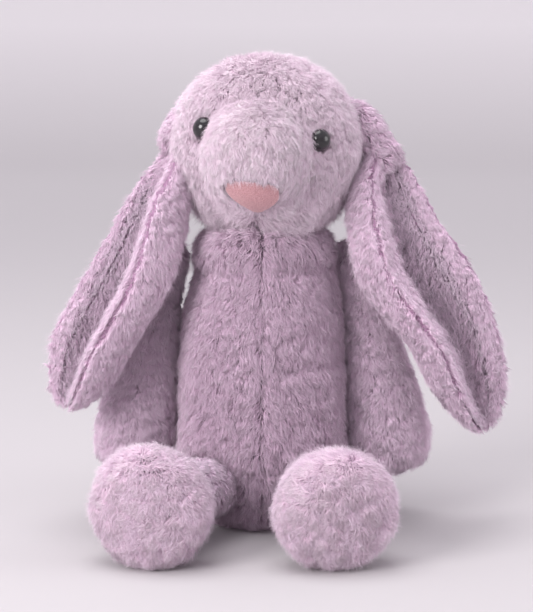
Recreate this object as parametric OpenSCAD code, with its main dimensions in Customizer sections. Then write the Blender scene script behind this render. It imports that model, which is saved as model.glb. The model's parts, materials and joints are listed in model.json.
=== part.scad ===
// Seated plush rabbit with long drop ears.
// Frame: +Z up, the face looks along -Y, the toy's own left side is +X.
// The origin is the middle of the flat seat, on the floor.
// Outer faces stand for the middle of the pile. Every cover is cloth and pile together.

/* [Cloth] */
// Thickness of cloth and pile together
cover_t = 5; // [3:0.5:7]
// Gap between soft parts that move against each other
joint_gap = 0.5; // [0.4:0.1:0.8]
// Thickness of the sewing thread rings
thread_d = 1.6; // [1:0.2:2]

/* [Torso] */
// Widest radius of the torso
torso_r = 45; // [42:0.5:46]
// Radius of the flat seat
seat_r = 30; // [26:1:32]
// Height of the shoulders, where the neck begins
torso_h = 152; // [150:1:153]

/* [Head] */
// Half width of the skull, cheek to cheek
skull_half_w = 48.5; // [46:0.5:50]
// Radius of the skull, front to back
skull_r = 46; // [44:0.5:47]
// Height of the skull's middle above the neck pivot
skull_up = 44.5; // [43:0.5:46]
// Width of the strip of cloth over the top of the head
gusset_w = 36; // [28:1:40]
// Radius of the muzzle
snout_r = 31; // [28:0.5:32]
// Reach of the muzzle in front of the neck pivot
snout_reach = 63; // [60:1:65]
// Turn of the head to the toy's right, in degrees
head_yaw = 5.5; // [0:0.5:6]
// Lean of the head to the toy's left, in degrees
head_roll = 5.5; // [0:0.5:6]
// Sideways place of the head on the neck, towards the toy's left
head_shift = -2; // [-3:0.5:0]
// Diameter of each eye
eye_d = 12; // [9:0.5:14]
// Width of the nose patch
nose_w = 27; // [22:0.5:30]
// Height of the nose patch
nose_h = 19; // [15:0.5:22]

/* [Ears] */
// Radius of the sewn root of each ear
ear_root_r = 7.5; // [6:0.5:8]
// Half of the angle that the ear's cupped cloth wraps round
ear_wrap = 112; // [95:1:120]

/* [Arms] */
// Radius of the shoulder end of the arm
shoulder_r = 11; // [10:0.5:11]
// Radius of the paw
paw_r = 20.5; // [18:0.5:21]
// Lean of the arm away from the torso, in degrees
arm_tilt = 10; // [9:0.5:12]
// Angle by which a forward swing of the arm heads inward, in degrees
arm_inward = 15; // [12:1:18]

/* [Legs] */
// Radius of the leg
leg_r = 15; // [13:0.5:15]
// Length from hip pivot to ankle pivot
leg_len = 52; // [48:1:54]
// Radius of the foot
foot_r = 28.5; // [26:0.5:29]
// Outward turn of the toy's left leg, in degrees
splay_left = 7; // [4:1:9]
// Outward turn of the toy's right leg, in degrees
splay_right = 22; // [14:1:23]

/* [Tail] */
// Radius of the tail
tail_r = 19; // [16:0.5:20]

/* [Hidden] */

lilac = [0.74, 0.64, 0.73];
lilac_dark = [0.62, 0.52, 0.61];
lilac_pale = [0.83, 0.75, 0.81];
fill_white = [0.95, 0.94, 0.92];
pink = [0.76, 0.55, 0.58];
thread_col = [0.66, 0.56, 0.66];

$fn = 72;
big = 400;
eps = 0.01;

// Neck pivot, with the nested balls of stump, collar and head round it
neck_z = 154;
stump_r = 22;
collar_in = stump_r + joint_gap;
collar_out = collar_in + 1.8;
head_socket_r = collar_out + joint_gap;
collar_foot = torso_h + 1.2;
collar_mouth_r = 9;

// Torso outline as radius and height, from the seat up to the shoulders
torso_line = [
  [seat_r, 0], [torso_r - 8.5, 6], [torso_r - 3, 20], [torso_r - 0.7, 38], [torso_r, 60],
  [torso_r - 0.8, 82], [torso_r - 3, 106], [torso_r - 6, 128], [torso_r - 10, 141],
  [torso_r - 15, 148.5], [torso_r - 21, torso_h]
];

// Radius of the sewn-in seat panel, and the outline of the room inside the cover
panel_r = seat_r - 1;
torso_room = drawn_in(torso_line, cover_t);

// Shoulder pivot of the toy's left arm
shoulder = [torso_r + 6.5, 8, 138];
// Arm outline as radius and distance below the pivot, and the start of its rounded end
arm_len = 116;
arm_line = [
  [shoulder_r, 0], [shoulder_r, 20], [shoulder_r + 1.6, 36], [shoulder_r + 4, 54],
  [paw_r - 2.6, 74], [paw_r, 94], [paw_r - 1.6, 106], [paw_r - 7, arm_len - 4], [0, arm_len]
];
arm_end = arm_len - 9;

// Hip pivots and the ankle's height
hip_x = 27;
hip_y = -34;
hip_z = 24;
// How far the leg turns up and down from the seated pose
leg_up = 20;
leg_down = 70;
ankle_rise = foot_r - hip_z;
ankle_run = sqrt(leg_len * leg_len - ankle_rise * ankle_rise);
leg_slope = asin(ankle_rise / leg_len);
// Foot outline as radius and distance in front of the ankle pivot
foot_line = [
  [leg_r + joint_gap, 3], [foot_r - 5, 5], [foot_r - 0.8, 12], [foot_r, 19], [foot_r - 1.2, 26],
  [foot_r - 5, 31], [foot_r - 13, 35], [0, 36.5]
];
sole_at = 28;

// Tail
tail_pivot = [0, torso_r + 2.5, 32];
tail_reach = tail_r + 0.4;
tail_root_r = 8;

// Eyes and nose, in the head's own frame, measured from the neck pivot
eye_spot = [30, -34, 52];
eye_out = [24, -66, 12];
eye_sunk = 2.5;
eye_post_r = 1.8;
eye_post_l = 13;
washer_r = 8;
washer_t = 1.6;
nose_up = 24;
nose_proud = 1.4;

// Ears: the root in the head's own frame, then places down the middle of each ear in the
// toy's frame, each with the ear's outer radius and the radius of its hollow
ear_root_spot = [skull_half_w - 2, 8, 61];
ear_root_hollow = 0.8;
ear_left_line = [
  [63.6, 1, 202, 8, 1], [68.5, -8, 180, 14, 3.5], [75, -20, 156, 20, 6], [84, -26, 132, 24.5, 8],
  [94, -28, 108, 25, 8.5], [103, -28, 84, 22.5, 7.5], [109, -27, 64, 15, 4.5], [111, -26, 53, 5, 1.2]
];
ear_right_line = [
  [-58.4, 9.4, 212, 5.8, 0.9], [-60.2, 1, 194, 9.5, 1.6], [-61, -11, 177, 14, 3.5], [-67.5, -22, 158, 17.5, 5],
  [-75.5, -29, 136, 20, 6.5], [-83, -30, 114, 21.5, 7.5], [-91.5, -29, 92, 20, 6.5],
  [-97, -28, 75, 13.5, 4], [-99, -27, 65, 4.5, 1.2]
];
// The way each ear's hollow faces, the rings between two places, and the points on a ring
ear_left_open = [0.68, -0.73, 0];
ear_right_open = [-0.84, -0.54, 0];
ear_steps = 4;
ear_cols = 9;

// ---------------------------------------------------------------- helpers

// Point given in the head's own frame, as a place in the toy's frame
function turn_y(p, a) = [p[0] * cos(a) + p[2] * sin(a), p[1], p[2] * cos(a) - p[0] * sin(a)];
function turn_z(p, a) = [p[0] * cos(a) - p[1] * sin(a), p[0] * sin(a) + p[1] * cos(a), p[2]];
function head_place(p) = turn_z(turn_y(p + [head_shift, 0, 0], head_roll), -head_yaw) + [0, 0, neck_z];

module head_frame() {
  translate([0, 0, neck_z]) rotate([0, 0, -head_yaw]) rotate([0, head_roll, 0])
    translate([head_shift, 0, 0]) children();
}

// Solid or quarter turned about Z from an outline of [radius, height] points
module turned(line, angle = 360, start = 0) {
  closed = concat([[0, line[0][1]]], line, [[0, line[len(line) - 1][1]]]);
  rotate([0, 0, start]) rotate_extrude(angle = angle) polygon(closed);
}

// The same outline drawn in by a cover's thickness
function drawn_in(line, t) = let (
  low = line[0][1] + t,
  high = line[len(line) - 1][1] - t
) [for (p = line) [max(p[0] - t, eps), min(max(p[1], low), high)]];

// Ellipsoid with its axis along Z, half length h and radius r
oval_step = 7.5;
module oval(r, h) {
  rotate_extrude() polygon(concat(
    [[0, -h]],
    [for (q = [oval_step - 90:oval_step:90 - oval_step]) [r * cos(q), h * sin(q)]],
    [[0, h]]
  ));
}

// Capsule along Z from 0 down to -l
module capsule(r, l) {
  ends = [for (q = [90:-10:0]) [r * cos(q), r * sin(q)]];
  tail = [for (q = [0:-10:-90]) [r * cos(q), r * sin(q) - l]];
  rotate_extrude() polygon([for (p = concat(ends, tail)) [max(p[0], 0), p[1]]]);
}

// Points between the entries of a list, on a smooth curve through them
function between(a, b, c, d, t) =
  0.5 * ((2 * b) + (c - a) * t + (2 * a - 5 * b + 4 * c - d) * t * t
  + (3 * b - a - 3 * c + d) * t * t * t);
function smooth(list, n) = [
  for (i = [0:len(list) - 2]) for (j = [0:n - 1])
    between(list[max(i - 1, 0)], list[i], list[i + 1], list[min(i + 2, len(list) - 1)], j / n),
  list[len(list) - 1]
];
function unit(v) = v / norm(v);
function spot(e) = [e[0], e[1], e[2]];

// ---------------------------------------------------------------- torso

module torso_hollows() {
  for (side = [1, -1]) {
    arm_frame(side) arm_sweep();
    hip_sweep(side);
  }
  translate(tail_pivot) sphere(tail_root_r + joint_gap);
}

module torso_panel(start) {
  difference() {
    turned(torso_line, 90, start);
    translate([0, 0, -eps]) turned(torso_room);
    translate([0, 0, -big / 2]) cylinder(r = panel_r, h = big / 2 + cover_t);
    torso_hollows();
    shoulder_thread(1);
    shoulder_thread(-1);
    hip_thread(1);
    hip_thread(-1);
  }
}

module torso_front_left() { color(lilac) torso_panel(270); }
module torso_front_right() { color(lilac) torso_panel(180); }
module torso_back_left() { color(lilac_dark) torso_panel(0); }
module torso_back_right() { color(lilac_dark) torso_panel(90); }

module base_panel() {
  color(lilac_dark) difference() {
    cylinder(r = panel_r, h = cover_t);
    torso_hollows();
  }
}

bag_floor = cover_t;
bag_top = 34;
bag_r = 15;

module pellet_bag() {
  color(fill_white) difference() {
    turned([[bag_r - 3, bag_floor], [bag_r, bag_floor + 6], [bag_r, bag_top - 6], [bag_r - 6, bag_top]]);
    turned([[bag_r - 4, bag_floor + 1], [bag_r - 1, bag_floor + 6.4], [bag_r - 1, bag_top - 6.4],
            [bag_r - 7, bag_top - 1]]);
  }
}

module pellets() {
  color(thread_col)
    turned([[bag_r - 4, bag_floor + 1], [bag_r - 1, bag_floor + 6.4], [bag_r - 1, bag_top - 11]]);
}

module torso_stuffing() {
  color(fill_white) difference() {
    translate([0, 0, -eps]) turned(torso_room);
    cylinder(r = panel_r, h = cover_t);
    turned([[bag_r - 3, bag_floor - 1], [bag_r, bag_floor + 6], [bag_r, bag_top - 6], [bag_r - 6, bag_top]]);
    torso_hollows();
    shoulder_thread(1);
    shoulder_thread(-1);
    hip_thread(1);
    hip_thread(-1);
  }
}

// ---------------------------------------------------------------- neck

module neck_stump() {
  color(fill_white) difference() {
    translate([0, 0, neck_z]) sphere(stump_r);
    translate([0, 0, torso_h - big]) cylinder(r = big, h = big);
  }
}

module neck_collar() {
  color(lilac_dark) difference() {
    translate([0, 0, neck_z]) sphere(collar_out);
    translate([0, 0, neck_z]) sphere(collar_in);
    translate([0, 0, collar_foot - big]) cylinder(r = big, h = big);
    translate([0, 0, neck_z]) cylinder(r = collar_mouth_r, h = big);
  }
}

// ---------------------------------------------------------------- head

module skull(inset = 0) {
  translate([0, 0, skull_up]) rotate([0, 90, 0]) oval(skull_r - inset, skull_half_w - inset);
}

snout_half = 38;
snout_mid = [0, snout_half - snout_reach, 42];

module snout_form(grow = 0) {
  translate(snout_mid) rotate([90, 0, 0]) oval(snout_r + grow, snout_half + grow);
}

// Room in the head for the neck and for the roots of the ears
module head_hollows() {
  translate([0, 0, neck_z]) sphere(head_socket_r);
  for (side = [1, -1]) translate(ear_root(side)) sphere(ear_root_r + joint_gap);
}

module eye_frame(side) {
  out = unit([side * eye_out[0], eye_out[1], eye_out[2]]);
  translate([side * eye_spot[0], eye_spot[1], eye_spot[2]])
    rotate([0, acos(out[2]), atan2(out[1], out[0])]) children();
}

module eye_form() {
  intersection() {
    translate([0, 0, -eye_sunk]) sphere(eye_d / 2);
    translate([0, 0, -eye_sunk]) cylinder(r = eye_d, h = eye_d);
  }
  translate([0, 0, -eye_post_l]) cylinder(r = eye_post_r, h = eye_post_l);
}

module washer_form() {
  translate([0, 0, -eye_post_l + 3]) cylinder(r = washer_r, h = washer_t);
}

module eye_room() {
  for (side = [1, -1]) eye_frame(side) eye_form();
}

module washer_room() {
  for (side = [1, -1]) eye_frame(side) washer_form();
}

module head_panel(from, to) {
  difference() {
    head_frame() difference() {
      intersection() {
        skull();
        translate([from, -big / 2, -big / 2]) cube([to - from, big, big]);
      }
      skull(cover_t);
      eye_room();
      washer_room();
    }
    head_hollows();
  }
}

module head_side_left() { color(lilac) head_panel(gusset_w / 2, big); }
module head_side_right() { color(lilac) head_panel(-big, -gusset_w / 2); }
module head_gusset() { color(lilac) head_panel(-gusset_w / 2, gusset_w / 2); }

module snout_half_form(side) {
  difference() {
    head_frame() difference() {
      intersection() {
        snout_form();
        translate([side > 0 ? 0 : -big, -big / 2, -big / 2]) cube(big);
      }
      skull();
      eye_room();
      washer_room();
    }
    head_hollows();
  }
}

module snout_left() { color(lilac_pale) snout_half_form(1); }
module snout_right() { color(lilac_pale) snout_half_form(-1); }

module head_stuffing() {
  color(fill_white) difference() {
    head_frame() difference() {
      skull(cover_t);
      eye_room();
      washer_room();
    }
    head_hollows();
  }
}

// Nose outline: nearly straight on top, and drawn to a round tip below and to one side
nose_above = 0.3;
nose_below = 0.59;
nose_taper = 0.66;
nose_lean = 2.5;
nose_points = [
  for (q = [0:10:350]) let (s = sin(q), c = cos(q), low = max(-s, 0)) [
    nose_w / 2 * sign(c) * pow(abs(c), 0.8) * (1 - nose_taper * low * low) + nose_lean * low,
    nose_h * (s > 0 ? nose_above * pow(s, 0.6) : nose_below * s)
  ]
];

module nose() {
  color(pink) head_frame() intersection() {
    difference() {
      snout_form(nose_proud);
      snout_form();
    }
    translate([0, -20, nose_up]) rotate([90, 0, 0]) linear_extrude(height = 60) polygon(nose_points);
  }
}

module eye(side) { color([0.05, 0.05, 0.06]) head_frame() eye_frame(side) eye_form(); }

module eye_washer(side) {
  color(fill_white) head_frame() eye_frame(side) difference() {
    washer_form();
    translate([0, 0, -eye_post_l]) cylinder(r = eye_post_r, h = eye_post_l);
  }
}

module eye_left() { eye(1); }
module eye_right() { eye(-1); }
module eye_washer_left() { eye_washer(1); }
module eye_washer_right() { eye_washer(-1); }

// ---------------------------------------------------------------- ears

function ear_root(side) = head_place([side * ear_root_spot[0], ear_root_spot[1], ear_root_spot[2]]);

// The round root, then the smooth path: each entry is place, outer radius and hollow radius
function ear_path(side) = let (
  line = side > 0 ? ear_left_line : ear_right_line,
  root = ear_root(side),
  start = [root[0], root[1], root[2], ear_root_r, ear_root_hollow],
  lead = unit(spot(line[0]) - root)
) concat(
  [for (q = [80:-20:20]) let (p = root - lead * ear_root_r * sin(q))
    [p[0], p[1], p[2], ear_root_r * cos(q), ear_root_hollow * cos(q)]],
  smooth(concat([start], line), ear_steps)
);

// One ring of an ear layer, between two shares of its thickness
function ear_ring(e, along, open, inner, outer) = let (
  d = unit(open - (open * along) * along),
  w = cross(along, d),
  hollow = e[4],
  r_in = hollow + (e[3] - hollow) * inner,
  r_out = hollow + (e[3] - hollow) * outer
) concat(
  [for (i = [0:ear_cols - 1]) let (q = ear_wrap * (2 * i / (ear_cols - 1) - 1))
    spot(e) + w * r_out * sin(q) - d * r_out * cos(q)],
  [for (i = [ear_cols - 1:-1:0]) let (q = ear_wrap * (2 * i / (ear_cols - 1) - 1))
    spot(e) + w * r_in * sin(q) - d * r_in * cos(q)]
);

module ear_layer(side, inner, outer) {
  path = ear_path(side);
  open = unit(side > 0 ? ear_left_open : ear_right_open);
  last = len(path) - 1;
  n = 2 * ear_cols;
  rings = [for (i = [0:last])
    ear_ring(path[i], unit(spot(path[min(i + 1, last)]) - spot(path[max(i - 1, 0)])), open, inner, outer)];
  points = [for (r = rings) for (p = r) p];
  // The two layers split their shared face along the same lines, so they meet without a gap
  walls = [for (i = [0:last - 1]) for (j = [0:n - 1]) let (
      a = i * n + j,
      b = i * n + (j + 1) % n
    ) each (j < ear_cols
      ? [[a, b, a + n], [b, b + n, a + n]]
      : [[a, b, b + n], [a, b + n, a + n]])];
  root_cap = [for (j = [0:ear_cols - 2]) each [[j, n - 1 - j, j + 1], [j + 1, n - 1 - j, n - 2 - j]]];
  tip_cap = [for (t = root_cap) [t[0] + last * n, t[2] + last * n, t[1] + last * n]];
  polyhedron(points = points, faces = concat(walls, root_cap, tip_cap), convexity = 8);
}

module ear_left_outer() { color(lilac_dark) ear_layer(1, 0.5, 1); }
module ear_left_lining() { color(lilac_pale) ear_layer(1, 0, 0.5); }
module ear_right_outer() { color(lilac_dark) ear_layer(-1, 0.5, 1); }
module ear_right_lining() { color(lilac_pale) ear_layer(-1, 0, 0.5); }

// ---------------------------------------------------------------- arms

// Frame of an arm: origin at the shoulder pivot, the arm along -Z, X along the hinge
module arm_frame(side) {
  mirror([side > 0 ? 0 : 1, 0, 0])
    translate(shoulder) rotate([0, 0, -arm_inward]) rotate([0, -arm_tilt, 0]) children();
}

function arm_outline(inset) = concat(
  [for (q = [90:-15:15]) [(shoulder_r - inset) * cos(q), (shoulder_r - inset) * sin(q)]],
  [for (p = arm_line) [max(p[0] - inset, 0), -p[1] + (p[1] > arm_end ? inset : 0)]]
);

module arm_form(inset = 0, angle = 360, start = 0) {
  rotate([0, 0, start]) rotate_extrude(angle = angle) polygon(concat([[0, 0]], arm_outline(inset)));
}

// Space that the arm sweeps in the torso as it swings about its hinge
module arm_sweep() {
  half = concat([[0, shoulder_r]], [for (p = arm_line) [p[1], p[0]]]);
  grown = [for (p = half) [p[0] + (p[0] > arm_end ? joint_gap : 0), p[1] + joint_gap]];
  for (flip = [0, 1]) rotate([0, 90, 0]) mirror([0, 0, flip]) rotate_extrude()
    polygon(concat([[0, 0]], grown, [[arm_len + joint_gap, 0]]));
}

// Ring of thread round the hinge line, on the torso's side of a ball of radius r
ring_angle = 35;
module thread_ring(r, extra = 0) {
  reach = r + joint_gap;
  rotate([0, -90, 0]) translate([0, 0, reach * cos(ring_angle)])
    rotate_extrude() translate([reach * sin(ring_angle), 0]) circle(d = thread_d + extra, $fn = 24);
}

module shoulder_thread(side) {
  color(thread_col) arm_frame(side) thread_ring(shoulder_r);
}

module arm_cover(side, start) {
  color(lilac) arm_frame(side) difference() {
    arm_form(0, 180, start);
    arm_form(cover_t);
    thread_ring(shoulder_r, 2 * joint_gap);
  }
}

module arm_stuffing(side) {
  color(fill_white) arm_frame(side) difference() {
    arm_form(cover_t);
    thread_ring(shoulder_r, 2 * joint_gap);
  }
}

module arm_left_outer() { arm_cover(1, 270); }
module arm_left_inner() { arm_cover(1, 90); }
module arm_left_stuffing() { arm_stuffing(1); }
module shoulder_thread_left() { shoulder_thread(1); }
module arm_right_outer() { arm_cover(-1, 270); }
module arm_right_inner() { arm_cover(-1, 90); }
module arm_right_stuffing() { arm_stuffing(-1); }
module shoulder_thread_right() { shoulder_thread(-1); }

// ---------------------------------------------------------------- legs and feet

// Frame of a leg: origin at the hip pivot, the leg along -Y, X along the hinge
module leg_frame(side) {
  translate([side * hip_x, hip_y, hip_z]) rotate([0, 0, side > 0 ? splay_left : -splay_right])
    children();
}

// Turns a shape that lies along -Z so that it runs from hip to ankle
module along_leg() {
  rotate([-90 - leg_slope, 0, 0]) children();
}

// Space that the leg sweeps from its highest to its lowest place
module hip_sweep(side) {
  room = leg_r + joint_gap;
  highest = 90 + leg_slope + leg_up;
  lowest = 90 + leg_slope - leg_down;
  leg_frame(side) {
    sphere(room);
    for (a = [highest, lowest]) rotate([-a, 0, 0]) mirror([0, 0, 1]) cylinder(r = room, h = leg_len);
    rotate([0, 90, 0]) rotate([0, 0, -highest]) rotate_extrude(angle = highest - lowest)
      translate([0, -room]) square([leg_len, 2 * room]);
  }
}

module hip_thread(side) {
  color(thread_col) leg_frame(side) rotate([0, 0, side > 0 ? 0 : 180]) thread_ring(leg_r);
}

module leg_form(inset = 0) { along_leg() capsule(leg_r - inset, leg_len); }

module leg_cover(side) {
  color(lilac) leg_frame(side) difference() {
    leg_form(0);
    leg_form(cover_t);
    rotate([0, 0, side > 0 ? 0 : 180]) thread_ring(leg_r, 2 * joint_gap);
  }
}

module leg_stuffing(side) {
  color(fill_white) leg_frame(side) leg_form(cover_t);
}

// Frame of a foot: origin at the ankle pivot, the sole faces +Z of the turned outline
module foot_frame(side) {
  leg_frame(side) translate([0, -ankle_run, ankle_rise]) rotate([90, 0, 0]) children();
}

module foot_form(inset = 0, from = 0, to = 100) {
  line = [for (p = foot_line) [max(p[0] - inset, 0), p[1] + (p[1] < 4 ? inset : p[1] > 32 ? -inset : 0)]];
  intersection() {
    rotate_extrude() polygon(concat([[0, line[0][1]]], line));
    translate([0, 0, from]) cylinder(r = big, h = to - from);
  }
}

module foot_upper(side) {
  color(lilac) foot_frame(side) difference() {
    foot_form(0, 0, sole_at);
    foot_form(cover_t);
    sphere(leg_r + joint_gap);
  }
}

module foot_sole(side) {
  color(lilac_pale) foot_frame(side) difference() {
    foot_form(0, sole_at);
    foot_form(cover_t);
  }
}

module foot_stuffing(side) {
  color(fill_white) foot_frame(side) difference() {
    foot_form(cover_t);
    sphere(leg_r + joint_gap);
  }
}

module leg_left_cover() { leg_cover(1); }
module leg_left_stuffing() { leg_stuffing(1); }
module hip_thread_left() { hip_thread(1); }
module leg_right_cover() { leg_cover(-1); }
module leg_right_stuffing() { leg_stuffing(-1); }
module hip_thread_right() { hip_thread(-1); }
module foot_left_upper() { foot_upper(1); }
module foot_left_sole() { foot_sole(1); }
module foot_left_stuffing() { foot_stuffing(1); }
module foot_right_upper() { foot_upper(-1); }
module foot_right_sole() { foot_sole(-1); }
module foot_right_stuffing() { foot_stuffing(-1); }

// ---------------------------------------------------------------- tail

module tail_ball(inset = 0) {
  translate(tail_pivot + [0, tail_reach, 0]) sphere(tail_r - inset);
}

module tail_cover() {
  color(lilac_pale) difference() {
    union() {
      tail_ball();
      translate(tail_pivot) sphere(tail_root_r);
    }
    tail_ball(cover_t);
  }
}

module tail_stuffing() { color(fill_white) tail_ball(cover_t); }

// ---------------------------------------------------------------- the toy

torso_front_left();
torso_front_right();
torso_back_left();
torso_back_right();
base_panel();
torso_stuffing();
pellet_bag();
pellets();
neck_stump();
neck_collar();
head_side_left();
head_side_right();
head_gusset();
snout_left();
snout_right();
head_stuffing();
nose();
eye_left();
eye_right();
eye_washer_left();
eye_washer_right();
ear_left_outer();
ear_left_lining();
ear_right_outer();
ear_right_lining();
arm_left_outer();
arm_left_inner();
arm_left_stuffing();
shoulder_thread_left();
arm_right_outer();
arm_right_inner();
arm_right_stuffing();
shoulder_thread_right();
leg_left_cover();
leg_left_stuffing();
hip_thread_left();
leg_right_cover();
leg_right_stuffing();
hip_thread_right();
foot_left_upper();
foot_left_sole();
foot_left_stuffing();
foot_right_upper();
foot_right_sole();
foot_right_stuffing();
tail_cover();
tail_stuffing();
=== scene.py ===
import json
import math

import bmesh
import bpy
import numpy as np
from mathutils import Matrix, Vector
from mathutils.bvhtree import BVHTree


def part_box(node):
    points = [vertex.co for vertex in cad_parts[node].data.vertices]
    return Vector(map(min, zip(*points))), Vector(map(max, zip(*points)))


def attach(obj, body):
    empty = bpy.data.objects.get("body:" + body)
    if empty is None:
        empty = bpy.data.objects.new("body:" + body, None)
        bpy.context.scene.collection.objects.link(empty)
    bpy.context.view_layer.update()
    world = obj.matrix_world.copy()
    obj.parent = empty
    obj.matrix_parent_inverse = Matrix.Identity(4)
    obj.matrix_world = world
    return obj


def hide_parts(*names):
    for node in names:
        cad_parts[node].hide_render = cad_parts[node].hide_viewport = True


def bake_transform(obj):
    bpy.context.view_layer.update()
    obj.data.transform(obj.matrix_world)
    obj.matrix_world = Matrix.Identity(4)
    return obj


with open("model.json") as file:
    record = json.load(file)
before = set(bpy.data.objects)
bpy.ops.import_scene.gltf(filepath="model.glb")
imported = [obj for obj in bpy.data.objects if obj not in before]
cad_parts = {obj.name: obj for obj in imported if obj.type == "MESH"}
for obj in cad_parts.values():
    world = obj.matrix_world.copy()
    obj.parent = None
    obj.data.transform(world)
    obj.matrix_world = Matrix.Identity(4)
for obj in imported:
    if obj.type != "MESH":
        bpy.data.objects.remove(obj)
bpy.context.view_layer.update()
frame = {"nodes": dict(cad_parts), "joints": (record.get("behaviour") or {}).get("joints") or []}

# Looks of a seated plush rabbit with long drop ears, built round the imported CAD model.
# Every skin starts from its body's own CAD solids, drawn in by the depth of the pile, and the pile
# is then grown on it as closed, tapering locks, with fine loose fibres between them.
# Sizes are in metres. MM turns millimetres into metres.

MM = 0.001
scene = bpy.context.scene
scene.view_settings.view_transform = "Standard"
SIDES = {"left": 1, "right": -1}

DENSITY = 1.0
LOCKS_MAX = 19900


# ---------------------------------------------------------------- small helpers

def unit(v):
    return v / np.maximum(np.linalg.norm(v, axis=-1, keepdims=True), 1e-12)


def dots(a, b):
    return np.sum(a * b, axis=-1, keepdims=True)


def middle(*nodes):
    lows, highs = zip(*(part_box(n) for n in nodes))
    return (np.min(np.array(lows), axis=0) + np.max(np.array(highs), axis=0)) / 2


def mean_point(node):
    return arrays(frame["nodes"][node].data)[0].mean(axis=0)


def joint_pivot(name):
    found = [j for j in frame["joints"] if j["name"] == name][0]
    return np.array(found["pos_m"], float)


def arrays(mesh):
    co = np.empty(len(mesh.vertices) * 3, np.float32)
    mesh.vertices.foreach_get("co", co)
    mesh.calc_loop_triangles()
    tri = np.empty(len(mesh.loop_triangles) * 3, np.int32)
    mesh.loop_triangles.foreach_get("vertices", tri)
    return co.reshape(-1, 3).astype(float), tri.reshape(-1, 3)


def bump(x, width):
    return np.exp(-(x / width) ** 2)


def ease(x, low, high):
    t = np.clip((x - low) / (high - low), 0, 1)
    return t * t * (3 - 2 * t)


def hashed(cell, seed):
    h = cell[:, 0] * 73856093 ^ cell[:, 1] * 19349663 ^ cell[:, 2] * 83492791 ^ seed * 40503
    h = (h ^ (h >> 13)) * 1274126177
    h = (h ^ (h >> 15)) * 668265263
    return ((h ^ (h >> 16)) & 0xFFFFFF) / 0x1000000


def noise(p, size, seed=0):
    """Smooth noise from -1 to 1, the same for the same points."""
    q = p / size
    cell = np.floor(q).astype(np.int64)
    f = q - cell
    f = f * f * (3 - 2 * f)
    total = np.zeros(len(p))
    for i in (0, 1):
        for j in (0, 1):
            for k in (0, 1):
                w = (f[:, 0] if i else 1 - f[:, 0]) * (f[:, 1] if j else 1 - f[:, 1])
                w = w * (f[:, 2] if k else 1 - f[:, 2])
                total += w * hashed(cell + np.array([i, j, k]), seed)
    return 2 * total - 1


def tufts(p, size, seed=0):
    """The middle of the tuft that each point belongs to, and two random numbers for that tuft."""
    q = p / size
    cell = np.floor(q).astype(np.int64)
    best = np.full(len(p), 1e9)
    spot = np.zeros_like(q)
    one = np.zeros(len(p))
    two = np.zeros(len(p))
    for i in (-1, 0, 1):
        for j in (-1, 0, 1):
            for k in (-1, 0, 1):
                c = cell + np.array([i, j, k])
                there = c + np.stack([hashed(c, seed + n) for n in (1, 2, 3)], axis=1)
                d = np.sum((there - q) ** 2, axis=1)
                near = d < best
                best[near] = d[near]
                spot[near] = there[near]
                one[near] = hashed(c, seed + 4)[near]
                two[near] = hashed(c, seed + 5)[near]
    return spot * size, one, two


# ---------------------------------------------------------------- materials

def linear(rgb):
    return tuple((c / 255 / 12.92) if c <= 10 else ((c / 255 + 0.055) / 1.055) ** 2.4 for c in rgb) + (1.0,)


def material(name):
    m = bpy.data.materials.new(name)
    m.use_nodes = True
    nodes = m.node_tree.nodes
    return m, nodes, m.node_tree.links, nodes["Principled BSDF"]


def ramp(nodes, stops):
    r = nodes.new("ShaderNodeValToRGB")
    r.color_ramp.elements[0].position, r.color_ramp.elements[0].color = stops[0]
    r.color_ramp.elements[1].position, r.color_ramp.elements[1].color = stops[-1]
    for place, colour in stops[1:-1]:
        e = r.color_ramp.elements.new(place)
        e.color = colour
    return r


def multiplied(nodes, links, shader, one, two):
    """Base Color as the product of two ramps."""
    mix = nodes.new("ShaderNodeMix")
    mix.data_type = "RGBA"
    mix.blend_type = "MULTIPLY"
    mix.inputs["Factor"].default_value = 1.0
    links.new(one.outputs["Color"], mix.inputs["A"])
    links.new(two.outputs["Color"], mix.inputs["B"])
    links.new(mix.outputs["Result"], shader.inputs["Base Color"])


def pile_material(name, root, body, tip, dark=0.70, light=1.08):
    """Lock colour: darker at the root, which is partly painted shade deep in the pile, to paler tips along V,
    and from darker to paler strands across U.
    """
    m, nodes, links, shader = material(name)
    uv = nodes.new("ShaderNodeUVMap")
    uv.uv_map = "OFBake"
    parts = nodes.new("ShaderNodeSeparateXYZ")
    links.new(uv.outputs["UV"], parts.inputs[0])
    along = ramp(nodes, [(0.0, linear(root)), (0.45, linear(body)), (1.0, linear(tip))])
    links.new(parts.outputs["Y"], along.inputs["Fac"])
    shades = [(0.0, (dark, dark * 0.97, dark, 1)), (0.5, (1, 1, 1, 1)), (1.0, (light, light, light, 1))]
    shade = ramp(nodes, shades)
    links.new(parts.outputs["X"], shade.inputs["Fac"])
    multiplied(nodes, links, shader, along, shade)
    shader.inputs["Roughness"].default_value = 0.75
    shader.inputs["Specular IOR Level"].default_value = 0.18
    shader.inputs["Sheen Weight"].default_value = 0.5
    shader.inputs["Sheen Roughness"].default_value = 0.45
    shader.inputs["Sheen Tint"].default_value = linear((246, 232, 244))
    return m


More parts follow.
